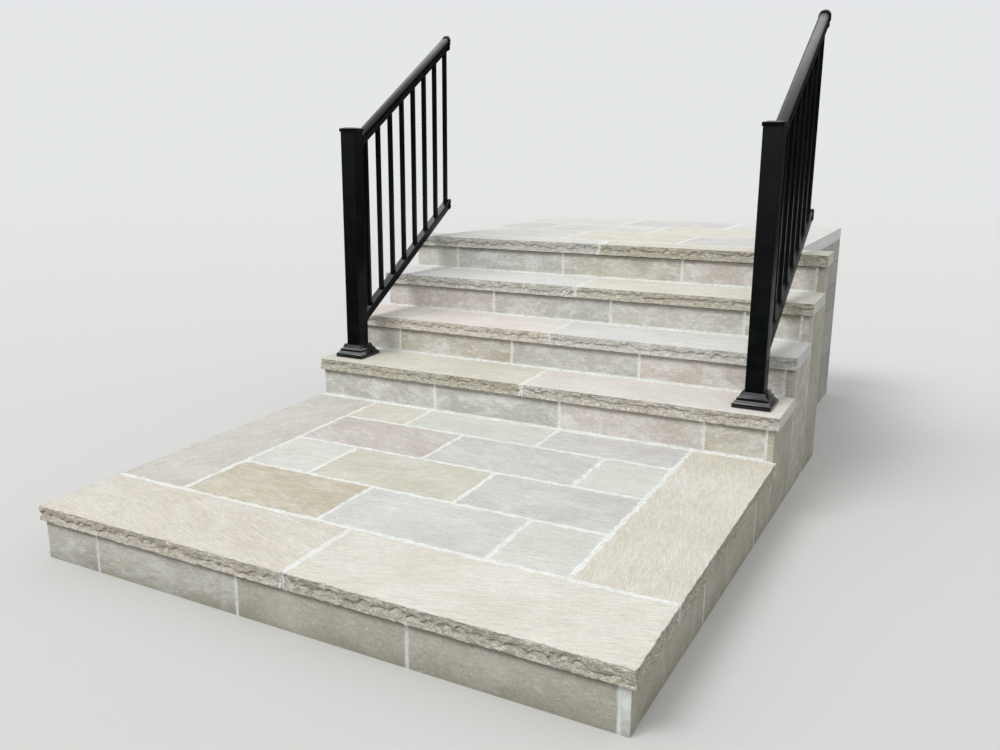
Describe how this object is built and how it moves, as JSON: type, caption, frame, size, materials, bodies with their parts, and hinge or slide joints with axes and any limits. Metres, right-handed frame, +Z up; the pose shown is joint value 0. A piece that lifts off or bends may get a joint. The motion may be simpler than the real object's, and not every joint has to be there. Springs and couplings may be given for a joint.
{
  "type": "outdoor stone steps",
  "caption": "Entrance steps in sandstone: a low paved platform, overhanging rock-faced treads up to a landing, and a raked black metal railing on each side.",
  "frame": {"origin": "under the middle of the bounding box, at the level of the lowest ground that the walls reach", "axes": "+X to the right along the nosings, +Y up the steps towards the house, +Z up"},
  "size_m": [2.256, 3.977, 2.0868],
  "materials": {
    "core_concrete": "rough",
    "mortar": "rough",
    "paving_stone": "riven",
    "panel_stone": "sawn",
    "rail_paint": "satin"
  },
  "bodies": {
    "root": {"concrete_core": "core_concrete", "coping_front_left": "paving_stone", "coping_front_right": "paving_stone", "coping_left": "paving_stone", "coping_right": "paving_stone", "flight_left_panels": "panel_stone", "flight_right_panels": "panel_stone", "landing_mortar": "mortar", "landing_nosing_left": "paving_stone", "landing_nosing_right": "paving_stone", "landing_row_1": "paving_stone", "landing_row_2": "paving_stone", "landing_row_3": "paving_stone", "left_balusters": "rail_paint", "left_base_cover": "rail_paint", "left_bottom_rail": "rail_paint", "left_brackets": "rail_paint", "left_post": "rail_paint", "left_post_cap": "rail_paint", "left_top_rail": "rail_paint", "paving_row_1": "paving_stone", "paving_row_2": "paving_stone", "paving_row_3": "paving_stone", "paving_row_4": "paving_stone", "platform_front_panels": "panel_stone", "platform_left_panels": "panel_stone", "platform_mortar": "mortar", "platform_right_panels": "panel_stone", "right_balusters": "rail_paint", "right_base_cover": "rail_paint", "right_bottom_rail": "rail_paint", "right_brackets": "rail_paint", "right_post": "rail_paint", "right_post_cap": "rail_paint", "right_top_rail": "rail_paint", "riser_a_panels": "panel_stone", "riser_b_panels": "panel_stone", "riser_c_panels": "panel_stone", "riser_d_panels": "panel_stone", "stair_mortar": "mortar", "tread_a_left": "paving_stone", "tread_a_right": "paving_stone", "tread_b_left": "paving_stone", "tread_b_right": "paving_stone", "tread_c_left": "paving_stone", "tread_c_right": "paving_stone"}
  },
  "joints": []
}
